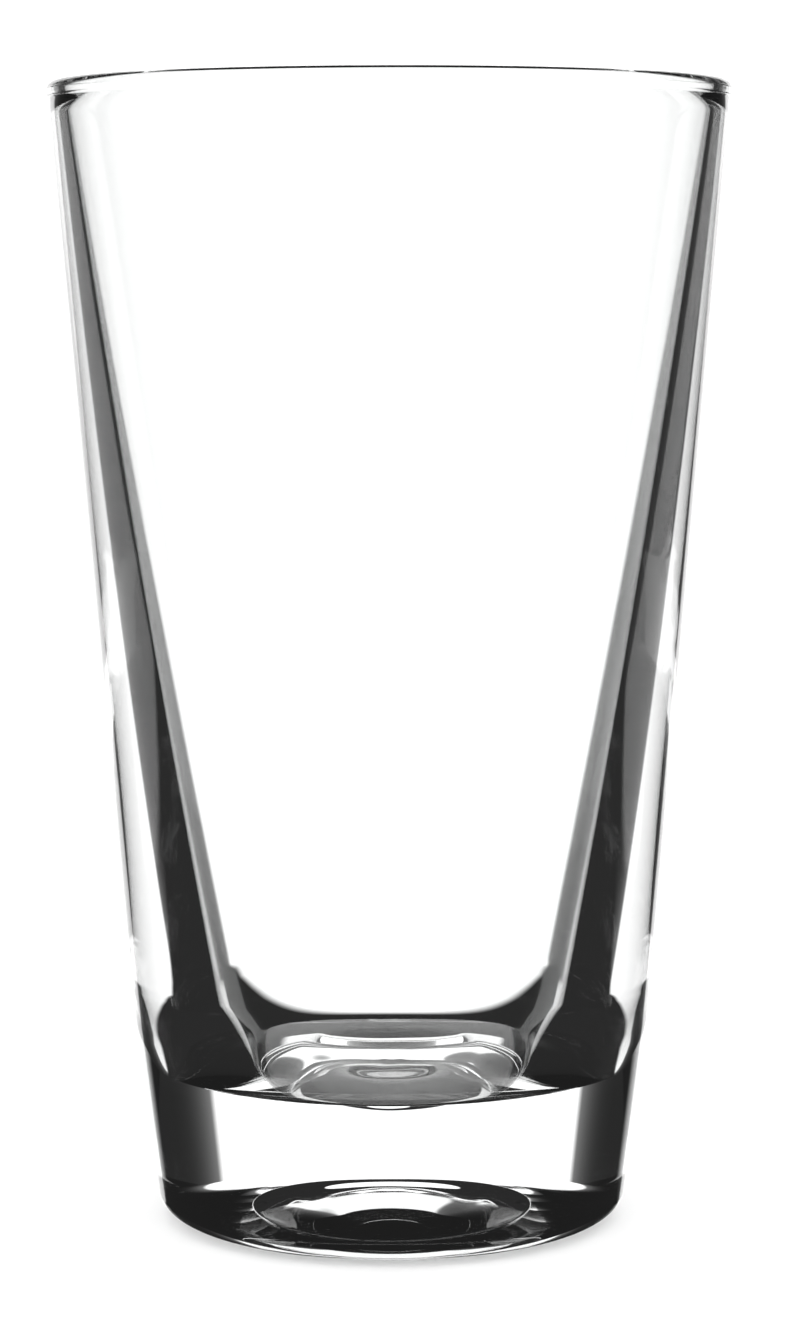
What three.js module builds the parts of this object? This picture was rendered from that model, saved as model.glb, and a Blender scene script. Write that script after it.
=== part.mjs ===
// A 16 oz (0.47 l) mixing glass, the glass half of a two-piece cocktail shaker.
//
// The whole object is one piece of pressed glass: a tapered wall that thickens towards a heavy
// solid base, a rounded rim, a cavity whose floor dips towards its middle, and a hollow (the punt)
// under the base, so that the glass rests on a flat ring. The closed outline of its section is
// revolved about the vertical axis.
//
// Units are millimetres. +Z is up, and the origin is the centre of the ring that it rests on.

import * as THREE from 'three';

// Overall size
const HEIGHT = 149.2;
const RIM_RADIUS = 44.45;
const FOOT_RADIUS = 30.65; // where the outer wall would meet the ground without its rounding

// Underside
const REST_INNER_RADIUS = 23.5;
const PUNT_DEPTH = 9.3;
const PUNT_SLOPE = Math.PI / 4; // of the dome where it meets the rounded edge
const PUNT_EDGE_RADIUS = 1;
const HEEL_WIDTH = 4.5;
const HEEL_HEIGHT = 3.3;

// Outer wall: a short tapered foot, a gentle bend at the shoulder, then the long straight wall
const SHOULDER_HEIGHT = 25.9;
const SHOULDER_RADIUS = 33.9;
const SHOULDER_ROUNDING = 37;

// Rim: a fine groove under a rounded bead
const BEAD_HEIGHT = 2.3;
const BEAD_WALL_RADIUS = 44.1;
const GROOVE_DEPTH = 0.12;
const GROOVE_HEIGHT = 0.3;

// Cavity
const MOUTH_RADIUS = 42;
const INNER_BULGE = 0.75; // how far the inner wall bows outside a straight line, halfway up
const FLOOR_HEIGHT = 19.9; // at the floor's edge
const CORNER_RADIUS = 21.8; // where the inner wall would meet the floor without its rounding
const CORNER_HEIGHT = 12; // how far the rounding reaches up the wall and along the floor
const CORNER_WIDTH = 2.2;
const DISH_DEPTH = 0.8; // a shallow dish over the whole floor, and a deeper dimple in its middle
const DIMPLE_RADIUS = 12.5;
const DIMPLE_DEPTH = 1.7;

// How closely a rounding follows the two lines that it joins: 0 is a straight cut
const HEEL_SQUARENESS = 0.55;
const CORNER_SQUARENESS = 0.3;

// Fineness of the faceted solid
const SIDES = 64;
const CURVE_STEPS = 4; // an arc takes twice as many
const DOME_STEPS = 10;
const FLOOR_STEPS = 10;

const glass = new THREE.MeshStandardMaterial({
  color: 0xeef2f3,
  roughness: 0.03,
  metalness: 0,
  transparent: true,
  opacity: 0.35,
});

// A point of the outline: x is the distance from the axis, y is the height.
function at(radius, height) {
  return new THREE.Vector2(radius, height);
}

// The point that lies some distance from one point towards another.
function towards(from, to, distance) {
  return from.clone().add(to.clone().sub(from).setLength(distance));
}

// Adds to the outline the arc that rounds off a corner between two straight stretches.
function roundCorner(outline, before, corner, after, radius) {
  const back = before.clone().sub(corner).normalize();
  const ahead = after.clone().sub(corner).normalize();
  const halfAngle = Math.acos(back.dot(ahead)) / 2;
  const tangent = radius / Math.tan(halfAngle);
  const start = corner.clone().addScaledVector(back, tangent);
  const end = corner.clone().addScaledVector(ahead, tangent);
  const middle = back.clone().add(ahead).normalize();
  const centre = corner.clone().addScaledVector(middle, radius / Math.sin(halfAngle));
  const startAngle = start.sub(centre).angle();
  const endAngle = end.sub(centre).angle();
  const clockwise = back.cross(ahead) > 0;
  outline.absarc(centre.x, centre.y, radius, startAngle, endAngle, clockwise);
}

// Adds to the outline a curve from start to end that eases round the corner between them.
function easeCorner(outline, start, corner, end, squareness) {
  const first = start.clone().lerp(corner, squareness);
  const second = end.clone().lerp(corner, squareness);
  outline.lineTo(start.x, start.y);
  outline.bezierCurveTo(first.x, first.y, second.x, second.y, end.x, end.y);
}

// The underside: a dome, flattest in its middle, that rolls over a rounded edge onto the foot.
function addPunt(outline) {
  const rollStart = 1.5 * Math.PI - PUNT_SLOPE;
  const reach = REST_INNER_RADIUS + PUNT_EDGE_RADIUS * Math.cos(rollStart);
  const rise = PUNT_DEPTH - PUNT_EDGE_RADIUS * (1 + Math.sin(rollStart));
  const power = (Math.tan(PUNT_SLOPE) * reach) / rise;
  outline.moveTo(0, PUNT_DEPTH);
  for (let step = 1; step <= DOME_STEPS; step++) {
    const share = step / DOME_STEPS;
    outline.lineTo(reach * share, PUNT_DEPTH - rise * share ** power);
  }
  outline.absarc(
    REST_INNER_RADIUS, PUNT_EDGE_RADIUS, PUNT_EDGE_RADIUS, rollStart, 1.5 * Math.PI, false,
  );
}

// The heel, the foot and the long outer wall, up to the groove under the bead.
function addOuterWall(outline) {
  const foot = at(FOOT_RADIUS, 0);
  const shoulder = at(SHOULDER_RADIUS, SHOULDER_HEIGHT);
  const top = at(BEAD_WALL_RADIUS, HEIGHT - BEAD_HEIGHT);
  const heelStart = at(FOOT_RADIUS - HEEL_WIDTH, 0);
  const heelEnd = towards(foot, shoulder, HEEL_HEIGHT);
  easeCorner(outline, heelStart, foot, heelEnd, HEEL_SQUARENESS);
  roundCorner(outline, foot, shoulder, top, SHOULDER_ROUNDING);
  outline.lineTo(top.x, top.y);
}

// The groove, the bead and the rounded lip, over to the inside of the mouth.
function addRim(outline) {
  const groove = HEIGHT - BEAD_HEIGHT + GROOVE_HEIGHT / 2;
  const lipRadius = (RIM_RADIUS - MOUTH_RADIUS) / 2;
  const lipCentre = at(RIM_RADIUS - lipRadius, HEIGHT - lipRadius);
  outline.lineTo(BEAD_WALL_RADIUS - GROOVE_DEPTH, groove);
  outline.lineTo(RIM_RADIUS, groove + GROOVE_HEIGHT);
  outline.absarc(lipCentre.x, lipCentre.y, lipRadius, 0, Math.PI, false);
}

// The inner wall and the rounding down to the floor.
function addInnerWall(outline) {
  const mouth = at(MOUTH_RADIUS, HEIGHT - (RIM_RADIUS - MOUTH_RADIUS) / 2);
  const corner = at(CORNER_RADIUS, FLOOR_HEIGHT);
  const pull = mouth.clone().add(corner).divideScalar(2);
  pull.x += 2 * INNER_BULGE;
  const start = towards(corner, pull, CORNER_HEIGHT);
  const end = at(CORNER_RADIUS - CORNER_WIDTH, FLOOR_HEIGHT);
  outline.quadraticCurveTo(pull.x, pull.y, start.x, start.y);
  easeCorner(outline, start, corner, end, CORNER_SQUARENESS);
}

// The depth, at some radius, of a shallow bowl that blends into the flat at its reach.
function dip(radius, reach, depth) {
  return depth * Math.max(0, 1 - (radius / reach) ** 2) ** 2;
}

// The floor, from its edge in to the axis.
function addFloor(outline) {
  const reach = CORNER_RADIUS - CORNER_WIDTH;
  for (let step = 1; step <= FLOOR_STEPS; step++) {
    const radius = reach * (1 - step / FLOOR_STEPS);
    const drop = dip(radius, reach, DISH_DEPTH) + dip(radius, DIMPLE_RADIUS, DIMPLE_DEPTH);
    outline.lineTo(radius, FLOOR_HEIGHT - drop);
  }
}

function glassBody() {
  const outline = new THREE.Path();
  addPunt(outline);
  addOuterWall(outline);
  addRim(outline);
  addInnerWall(outline);
  addFloor(outline);
  const geometry = new THREE.LatheGeometry(outline.getPoints(CURVE_STEPS), SIDES);
  geometry.rotateX(Math.PI / 2); // the lathe turns about Y, and the glass stands along Z
  const body = new THREE.Mesh(geometry, glass);
  body.name = 'glass_body';
  return body;
}

const mixingGlass = new THREE.Group();
mixingGlass.add(glassBody());

export default mixingGlass;
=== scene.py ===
"""Looks for the 16 oz mixing glass: the glass, a pale floor, a soft studio and the camera.

The glass is one piece of clear pressed glass, turned about the Z axis from the same section as
the CAD solid but with many more points, because every facet of a clear solid shows in what it
refracts. Named lengths are millimetres, and everything given to Blender is in metres.
"""

import math

import bpy
import numpy as np
from mathutils import Matrix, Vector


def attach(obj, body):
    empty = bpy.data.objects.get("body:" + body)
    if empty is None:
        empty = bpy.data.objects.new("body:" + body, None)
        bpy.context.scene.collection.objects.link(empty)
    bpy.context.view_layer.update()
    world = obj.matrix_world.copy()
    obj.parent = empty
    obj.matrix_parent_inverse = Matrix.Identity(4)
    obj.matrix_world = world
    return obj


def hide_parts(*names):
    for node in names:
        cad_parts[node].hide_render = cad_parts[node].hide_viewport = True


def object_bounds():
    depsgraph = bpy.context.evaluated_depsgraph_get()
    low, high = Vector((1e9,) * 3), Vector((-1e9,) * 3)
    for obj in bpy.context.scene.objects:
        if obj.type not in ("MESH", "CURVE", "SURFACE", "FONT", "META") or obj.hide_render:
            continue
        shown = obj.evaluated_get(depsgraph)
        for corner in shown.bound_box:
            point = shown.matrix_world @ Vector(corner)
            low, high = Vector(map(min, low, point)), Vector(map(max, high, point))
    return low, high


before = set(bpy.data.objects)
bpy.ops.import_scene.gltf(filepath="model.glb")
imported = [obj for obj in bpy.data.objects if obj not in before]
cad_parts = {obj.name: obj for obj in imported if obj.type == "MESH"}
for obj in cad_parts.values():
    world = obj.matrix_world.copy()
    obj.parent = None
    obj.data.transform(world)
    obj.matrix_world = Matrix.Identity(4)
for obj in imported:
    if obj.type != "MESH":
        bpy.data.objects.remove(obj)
cad_low, cad_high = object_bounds()

MM = 0.001

# Overall size
HEIGHT = (cad_high.z - cad_low.z) / MM
RIM_RADIUS = cad_high.x / MM
FOOT_RADIUS = 30.65  # where the outer wall would meet the ground without its rounding

# Underside
REST_INNER_RADIUS = 23.5
PUNT_DEPTH = 9.3
PUNT_SLOPE = math.radians(45)  # of the dome where it meets the rounded edge
PUNT_EDGE_RADIUS = 1
HEEL_WIDTH = 4.5
HEEL_HEIGHT = 3.3

# Outer wall: a short tapered foot, a gentle bend at the shoulder, then the long straight wall
SHOULDER_HEIGHT = 25.9
SHOULDER_RADIUS = 33.9
SHOULDER_ROUNDING = 37

# Rim: a fine groove under a rounded bead
BEAD_HEIGHT = 2.3
BEAD_WALL_RADIUS = 44.1
GROOVE_DEPTH = 0.12
GROOVE_HEIGHT = 0.3

# Cavity
MOUTH_RADIUS = 42
INNER_BULGE = 0.75  # how far the inner wall bows outside a straight line, halfway up
FLOOR_HEIGHT = 19.9  # at the floor's edge
CORNER_RADIUS = 21.8  # where the inner wall would meet the floor without its rounding
CORNER_HEIGHT = 12  # how far the rounding reaches up the wall and along the floor
CORNER_WIDTH = 2.2
DISH_DEPTH = 0.8  # a shallow dish over the whole floor, and a deeper dimple in its middle
DIMPLE_RADIUS = 12.5
DIMPLE_DEPTH = 1.7

# How closely a rounding follows the two lines that it joins: 0 is a straight cut
HEEL_SQUARENESS = 0.55
CORNER_SQUARENESS = 0.3

# The unevenness that pressing leaves in the floor. Each set of waves has its count round the
# floor, where it starts, how far it twists from the middle to the edge, and its strength.
WAVE_HEIGHT = 0.04
WAVE_SETS = ((2, 1, 0, 1), (5, 0, 6, 0.5))

# Surface of the glass
GLASS_COLOUR = (0.985, 0.99, 0.988, 1)
GLASS_INDEX = 1.52
RIPPLES_PER_METRE = 90
RIPPLE_DEPTH = 0.004
PATCHES_PER_METRE = 45
PATCH_EDGE = (0.35, 0.75)  # the noise goes from clear to hazy between these
HAZE = 0.02  # roughness of a hazy patch

# Fineness of the turned surface, which stays under 200,000 triangles
SEGMENTS = 272
ARC_STEP = math.radians(3)
WALL_STEP = 2.0
CORNER_STEPS = 32
DOME_STEPS = 40
FLOOR_STEPS = 40

# Ground that the glass stands on
GROUND_REACH = 3000
GROUND_GAP = 0.2  # keeps it clear of the resting ring
GROUND_COLOUR = (0.85, 0.85, 0.85, 1)
GROUND_ROUGHNESS = 0.9

# The studio, seen only in what the glass refracts and mirrors. A bright card with soft edges
# stands behind the glass with a faint glow at its sides, and the room round it is nearly black.
# That draws the dark bands along the glass's edges.
CARD_DISTANCE = 287
CARD_SIDES = (-179, 158)
CARD_HEIGHTS = (-100, 389)
SIDE_SOFTNESS = 8
END_SOFTNESS = 5
CARD_LEVEL = 1.4
GLOW_LEVEL = 0.25
GLOW_WIDTH = 24  # the glow falls to about a third over each width
GLOW_REACH = 5  # in glow widths
DARK_LEVEL = 0.012
TABLE_LEVEL = 0.012  # added to the dark below the horizon
BACKGROUND_LEVEL = 1.6  # for the camera's own background and the light on the ground

# Far to the sides and steeply down the room is bright, so that the glass is clear from its other
# sides too. Angles are in degrees, turned from straight behind the glass or raised above the
# horizon, and the room goes from dark to bright between the two of each pair.
OPEN_LEVEL = 1.05
WALLS_TURN = (38, 46)  # through both walls of the glass
WALLS_STEEP_TURN = (34.5, 36.5)
WALLS_STEEP_RISE = (-25, -27)
BASE_TURN = (62, 72)  # through the base or one wall
BASE_RISE = (-4, -8)

# Counts of surfaces that light has met: below the first it has met none, and above the second
# it has crossed the four of both walls
NO_SURFACE = 0.5
BOTH_WALLS = 3.5

# The camera stands a little below the rim's plane and looks slightly down. Angles in degrees.
CAMERA_DISTANCE = 506
CAMERA_HEIGHT = 125.8
CAMERA_PITCH = 5.91
CAMERA_YAW = 0.113
CAMERA_ROLL = -0.12
LENS = 104.85
SENSOR_WIDTH = 36

# How many surfaces light is followed through, because thick clear glass traps it for long
BOUNCES = 64
GLASS_BOUNCES = 32


def at(radius, height):
    """A point of the section, or a direction in it."""
    return np.array([radius, height], float)


def angle(vector):
    return math.atan2(vector[1], vector[0])


def unit(vector):
    return vector / np.linalg.norm(vector)


def arc(centre, radius, start, end):
    """The points of a circular arc between two angles, in radians."""
    count = max(2, math.ceil(abs(end - start) / ARC_STEP))
    angles = np.linspace(start, end, count + 1)
    return [centre + radius * at(math.cos(a), math.sin(a)) for a in angles]


def round_corner(before, corner, after, radius):
    """The arc that rounds off the corner between two straight stretches."""
    back, ahead = unit(before - corner), unit(after - corner)
    half = math.acos(back @ ahead) / 2
    centre = corner + unit(back + ahead) * radius / math.sin(half)
    start = angle(corner + back * radius / math.tan(half) - centre)
    end = angle(corner + ahead * radius / math.tan(half) - centre)
    if end - start > math.pi:
        end -= 2 * math.pi
    if start - end > math.pi:
        end += 2 * math.pi
    return arc(centre, radius, start, end)


def ease_corner(start, corner, end, squareness):
    """A smooth curve that turns a corner, closer to it the nearer squareness is to 1."""
    first = start + (corner - start) * squareness
    second = end + (corner - end) * squareness
    pulls = np.array([start, first, second, end])
    shares = np.linspace(0, 1, CORNER_STEPS + 1)
    weights = [((1 - t) ** 3, 3 * t * (1 - t) ** 2, 3 * t**2 * (1 - t), t**3) for t in shares]
    return list(np.array(weights) @ pulls)


def bow(start, pull, end):
    """The points between two ends, not including them, of a curve drawn towards a third point."""
    count = max(2, round(np.linalg.norm(end - start) / WALL_STEP))
    shares = np.linspace(0, 1, count + 1)[1:-1]
    return [(1 - t) ** 2 * start + 2 * (1 - t) * t * pull + t * t * end for t in shares]


def straight(start, end):
    """The points between two ends, not including them, of a straight line."""
    return bow(start, (start + end) / 2, end)


def punt():
    """The hollow underneath: a dome, flattest in its middle, that rolls over onto the foot."""
    edge = at(REST_INNER_RADIUS, PUNT_EDGE_RADIUS)
    down = 1.5 * math.pi
    roll = arc(edge, PUNT_EDGE_RADIUS, down - PUNT_SLOPE, down)
    reach, height = roll[0]
    rise = PUNT_DEPTH - height
    power = math.tan(PUNT_SLOPE) * reach / rise
    shares = np.linspace(0, 1, DOME_STEPS + 1)[:-1]
    return [at(reach * share, PUNT_DEPTH - rise * share**power) for share in shares] + roll


def outer_wall():
    """The heel, the foot, the bend at the shoulder and the long wall, up to the groove."""
    foot = at(FOOT_RADIUS, 0)
    shoulder = at(SHOULDER_RADIUS, SHOULDER_HEIGHT)
    top = at(BEAD_WALL_RADIUS, HEIGHT - BEAD_HEIGHT)
    up = foot + unit(shoulder - foot) * HEEL_HEIGHT
    heel = ease_corner(at(FOOT_RADIUS - HEEL_WIDTH, 0), foot, up, HEEL_SQUARENESS)
    bend = round_corner(foot, shoulder, top, SHOULDER_ROUNDING)
    return heel + straight(heel[-1], bend[0]) + bend + straight(bend[-1], top) + [top]


def rim():
    """The groove, the bead and the rounded lip, over to the inside of the mouth."""
    groove = HEIGHT - BEAD_HEIGHT + GROOVE_HEIGHT / 2
    lip_radius = (RIM_RADIUS - MOUTH_RADIUS) / 2
    lip_centre = at(RIM_RADIUS - lip_radius, HEIGHT - lip_radius)
    below = [at(BEAD_WALL_RADIUS - GROOVE_DEPTH, groove), at(RIM_RADIUS, groove + GROOVE_HEIGHT)]
    return below + arc(lip_centre, lip_radius, 0, math.pi)


def dip(radius, reach, depth):
    """The depth, at some radius, of a shallow bowl that blends into the flat at its reach."""
    return depth * max(0, 1 - (radius / reach) ** 2) ** 2


def cavity():
    """The inner wall, the rounding at its foot and the floor, in to the axis."""
    mouth = at(MOUTH_RADIUS, HEIGHT - (RIM_RADIUS - MOUTH_RADIUS) / 2)
    corner = at(CORNER_RADIUS, FLOOR_HEIGHT)
    pull = (mouth + corner) / 2 + at(2 * INNER_BULGE, 0)
    start = corner + unit(pull - corner) * CORNER_HEIGHT
    turn = ease_corner(start, corner, corner - at(CORNER_WIDTH, 0), CORNER_SQUARENESS)
    reach = turn[-1][0]
    radii = np.linspace(reach, 0, FLOOR_STEPS + 1)[1:]
    drops = [dip(r, reach, DISH_DEPTH) + dip(r, DIMPLE_RADIUS, DIMPLE_DEPTH) for r in radii]
    floor = [at(r, FLOOR_HEIGHT - drop) for r, drop in zip(radii, drops)]
    return bow(mouth, pull, start) + turn + floor


def waves(radius, turns):
    """How far the pressed floor stands above or below the turned shape, all the way round.

    The waves die away towards the middle of the floor and towards its edge.
    """
    share = radius / (CORNER_RADIUS - CORNER_WIDTH)
    swell = 4 * share * (1 - share)
    heights = sum(
        strength * np.sin(count * turns + start + twist * share)
        for count, start, twist, strength in WAVE_SETS
    )
    return WAVE_HEIGHT * swell * heights


def turned_glass():
    """The section revolved about Z, closed on the axis at the punt and at the cavity's floor."""
    section = np.array(punt() + outer_wall() + rim() + cavity())
    turns = np.arange(SEGMENTS) * 2 * math.pi / SEGMENTS
    rings = section[1:-1]
    floor_edge = len(rings) - FLOOR_STEPS
    points = [(0, 0, section[0][1]), (0, 0, section[-1][1])]
    for ring, (radius, height) in enumerate(rings):
        lifts = waves(radius, turns) if ring > floor_edge else 0 * turns
        points += [
            (radius * math.cos(turn), radius * math.sin(turn), height + lift)
            for turn, lift in zip(turns, lifts)
        ]
    verts = np.array(points) * MM

    def vertex(ring, turn):
        """The number of a point on a ring. The two points on the axis come before them all."""
        return 2 + ring * SEGMENTS + turn % SEGMENTS

    last = len(rings) - 1
    faces = []
    for turn in range(SEGMENTS):
        faces.append((0, vertex(0, turn + 1), vertex(0, turn)))
        faces.append((1, vertex(last, turn), vertex(last, turn + 1)))
        for ring in range(last):
            a, b = vertex(ring, turn), vertex(ring, turn + 1)
            c, d = vertex(ring + 1, turn + 1), vertex(ring + 1, turn)
            faces.append((a, b, c, d))
    piece = mesh_object("turned_glass", verts, faces)
    piece.data.shade_smooth()
    return piece


def mesh_object(name, verts, faces):
    """A new object in the scene, with a mesh of its own."""
    mesh = bpy.data.meshes.new(name)
    mesh.from_pydata(verts, [], faces)
    mesh.update()
    made = bpy.data.objects.new(name, mesh)
    bpy.context.scene.collection.objects.link(made)
    return made


class Nodes:
    """Short forms for the few shader nodes that the glass and the studio are made of."""

    def __init__(self, tree):
        self.nodes, self.links = tree.nodes, tree.links
        self.nodes.clear()

    def add(self, kind, **inputs):
        """A shader node, with its inputs by name and _ for each space in the name."""
        node = self.nodes.new("ShaderNode" + kind)
        for name, value in inputs.items():
            self.join(value, node.inputs[name.replace("_", " ")])
        return node

    def join(self, value, socket):
        """Feeds a socket from another node's output, or sets it to a plain value."""
        if isinstance(value, bpy.types.NodeSocket):
            self.links.new(value, socket)
        else:
            socket.default_value = value

    def math(self, operation, *values):
        node = self.nodes.new("ShaderNodeMath")
        node.operation = operation
        for socket, value in zip(node.inputs, values):
            self.join(value, socket)
        return node.outputs[0]

    def ramp(self, value, low, high, start=0.0, end=1.0):
        """Goes smoothly from start to end as the value goes from low to high."""
        node = self.nodes.new("ShaderNodeMapRange")
        node.interpolation_type = "SMOOTHSTEP"
        names = ("Value", "From Min", "From Max", "To Min", "To Max")
        for name, number in zip(names, (value, low, high, start, end)):
            self.join(number, node.inputs[name])
        return node.outputs["Result"]

    def band(self, value, low, high, softness):
        """1 between low and high, 0 outside, with soft edges."""
        rise = self.ramp(value, low - softness, low + softness)
        fall = self.ramp(value, high - softness, high + softness, 1, 0)
        return self.math("MULTIPLY", rise, fall)


def clear_glass():
    """Polished soda-lime glass, with the faint waviness and hazy patches that a mould leaves."""
    material = bpy.data.materials.new("clear_glass")
    material.use_nodes = True
    kit = Nodes(material.node_tree)
    place = kit.add("TexCoord").outputs["Object"]
    ripples = kit.add("TexNoise", Vector=place, Scale=RIPPLES_PER_METRE, Detail=1)
    depth = RIPPLE_DEPTH * MM
    bump = kit.add("Bump", Height=ripples.outputs["Fac"], Strength=1, Distance=depth)
    patches = kit.add("TexNoise", Vector=place, Scale=PATCHES_PER_METRE, Detail=3)
    haze = kit.ramp(patches.outputs["Fac"], *PATCH_EDGE, 0, HAZE)
    shader = kit.add("BsdfPrincipled", Base_Color=GLASS_COLOUR, Roughness=haze, IOR=GLASS_INDEX)
    kit.join(1, shader.inputs["Transmission Weight"])
    kit.join(bump.outputs["Normal"], shader.inputs["Normal"])
    kit.add("OutputMaterial", Surface=shader.outputs["BSDF"])
    return material


def rectangle(name, low, high, place):
    """A flat rectangle. Low and high are two opposite corners, and place puts them in space."""
    (left, bottom), (right, top) = low, high
    corners = [(left, bottom), (right, bottom), (right, top), (left, top)]
    return mesh_object(name, [place(x, y) for x, y in corners], [(0, 1, 2, 3)])


def pale_floor():
    """A wide matt floor, left out of what the glass refracts and mirrors."""
    reach = GROUND_REACH * MM
    floor = rectangle("floor", (-reach, -reach), (reach, reach), lambda x, y: (x, y, 0))
    floor.location.z = -GROUND_GAP * MM
    floor.visible_transmission = False
    floor.visible_glossy = False
    paint = bpy.data.materials.new("pale_floor")
    paint.use_nodes = True
    shader = paint.node_tree.nodes["Principled BSDF"]
    shader.inputs["Base Color"].default_value = GROUND_COLOUR
    shader.inputs["Roughness"].default_value = GROUND_ROUGHNESS
    shader.inputs["Specular IOR Level"].default_value = 0
    floor.data.materials.append(paint)


def card_paint(left, right, bottom, top):
    """The card's light and the glow at its sides, added to what shows behind them."""
    paint = bpy.data.materials.new("card")
    paint.use_nodes = True
    kit = Nodes(paint.node_tree)
    place = kit.add("SeparateXYZ", Vector=kit.add("TexCoord").outputs["Object"])
    x, z = place.outputs["X"], place.outputs["Z"]
    across = kit.band(x, left, right, SIDE_SOFTNESS * MM)
    upright = kit.band(z, bottom, top, END_SOFTNESS * MM)
    beside = kit.math("MAXIMUM", kit.math("SUBTRACT", left, x), kit.math("SUBTRACT", x, right))
    beside = kit.math("MAXIMUM", beside, 0)
    fade = kit.math("EXPONENT", kit.math("DIVIDE", beside, -GLOW_WIDTH * MM))
    glow = kit.math("MULTIPLY", fade, GLOW_LEVEL)
    glow = kit.math("MULTIPLY", glow, kit.math("SUBTRACT", 1, across))
    light = kit.math("ADD", kit.math("MULTIPLY", across, CARD_LEVEL), glow)
    emission = kit.add("Emission", Strength=kit.math("MULTIPLY", light, upright))
    both = kit.add("AddShader")
    kit.join(emission.outputs[0], both.inputs[0])
    kit.join(kit.add("BsdfTransparent").outputs[0], both.inputs[1])
    kit.add("OutputMaterial", Surface=both.outputs[0])
    return paint


def card():
    """The bright card behind the glass, which the camera doesn't see and which casts no shadow."""
    left, right, bottom, top = (length * MM for length in CARD_SIDES + CARD_HEIGHTS)
    side = (SIDE_SOFTNESS + GLOW_REACH * GLOW_WIDTH) * MM
    end = END_SOFTNESS * MM
    low, high = (left - side, bottom - end), (right + side, top + end)
    panel = rectangle("card", low, high, lambda x, z: (x, CARD_DISTANCE * MM, z))
    panel.visible_camera = False
    panel.visible_diffuse = False
    panel.visible_shadow = False
    panel.data.materials.append(card_paint(left, right, bottom, top))


def open_room(kit, way, path):
    """1 where the glass shows the bright part of the room, and 0 where it shows the dark."""
    azimuth = kit.math("DEGREES", kit.math("ARCTAN2", way.outputs["X"], way.outputs["Y"]))
    turn = kit.math("ABSOLUTE", azimuth)
    rise = kit.math("DEGREES", kit.math("ARCSINE", way.outputs["Z"]))
    crossed = path.outputs["Transmission Depth"]
    both_walls = kit.math("GREATER_THAN", crossed, BOTH_WALLS)
    steep = kit.ramp(rise, *WALLS_STEEP_RISE)
    steep = kit.math("MULTIPLY", steep, kit.ramp(turn, *WALLS_STEEP_TURN))
    walls = kit.math("MAXIMUM", kit.ramp(turn, *WALLS_TURN), steep)
    walls = kit.math("MULTIPLY", both_walls, walls)
    base = kit.math("MAXIMUM", kit.ramp(turn, *BASE_TURN), kit.ramp(rise, *BASE_RISE))
    base = kit.math("MULTIPLY", base, kit.math("SUBTRACT", 1, both_walls))
    unmirrored = kit.math("LESS_THAN", path.outputs["Glossy Depth"], NO_SURFACE)
    return kit.math("MULTIPLY", unmirrored, kit.math("ADD", walls, base))


def studio():
    """White where the camera and the ground see it, and the room where the glass shows it."""
    world = bpy.data.worlds.new("studio")
    bpy.context.scene.world = world
    world.use_nodes = True
    kit = Nodes(world.node_tree)
    way = kit.add("SeparateXYZ", Vector=kit.add("TexCoord").outputs["Generated"])
    path = kit.add("LightPath")
    downward = kit.math("LESS_THAN", way.outputs["Z"], 0)
    dim = kit.math("ADD", kit.math("MULTIPLY", downward, TABLE_LEVEL), DARK_LEVEL)
    bright = kit.math("MULTIPLY", open_room(kit, way, path), OPEN_LEVEL)
    from_ground = kit.math("GREATER_THAN", path.outputs["Diffuse Depth"], NO_SURFACE)
    mix = kit.add("Mix")
    mix.data_type = "FLOAT"
    plain = kit.math("MAXIMUM", path.outputs["Is Camera Ray"], from_ground)
    kit.join(plain, mix.inputs["Factor"])
    kit.join(kit.math("MAXIMUM", bright, dim), mix.inputs["A"])
    kit.join(BACKGROUND_LEVEL, mix.inputs["B"])
    background = kit.add("Background", Color=(1, 1, 1, 1), Strength=mix.outputs["Result"])
    kit.add("OutputWorld", Surface=background.outputs[0])


def camera():
    """The camera, in front of the glass on the -Y side."""
    data = bpy.data.cameras.new("camera")
    data.lens = LENS
    data.sensor_width = SENSOR_WIDTH
    eye = bpy.data.objects.new("camera", data)
    place = Matrix.Translation((0, -CAMERA_DISTANCE * MM, CAMERA_HEIGHT * MM))
    yaw = Matrix.Rotation(math.radians(-CAMERA_YAW), 4, "Z")
    tilt = Matrix.Rotation(math.radians(90 - CAMERA_PITCH), 4, "X")
    roll = Matrix.Rotation(math.radians(CAMERA_ROLL), 4, "Z")
    eye.matrix_world = place @ yaw @ tilt @ roll
    bpy.context.scene.collection.objects.link(eye)
    bpy.context.scene.camera = eye


glass = turned_glass()
glass.data.materials.append(clear_glass())
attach(glass, "root")
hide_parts("glass_body")
pale_floor()
card()
studio()
camera()

scene = bpy.context.scene
scene.view_settings.view_transform = "Standard"
scene.cycles.max_bounces = BOUNCES
scene.cycles.transmission_bounces = GLASS_BOUNCES
scene.cycles.glossy_bounces = BOUNCES
scene.cycles.sample_clamp_indirect = 0
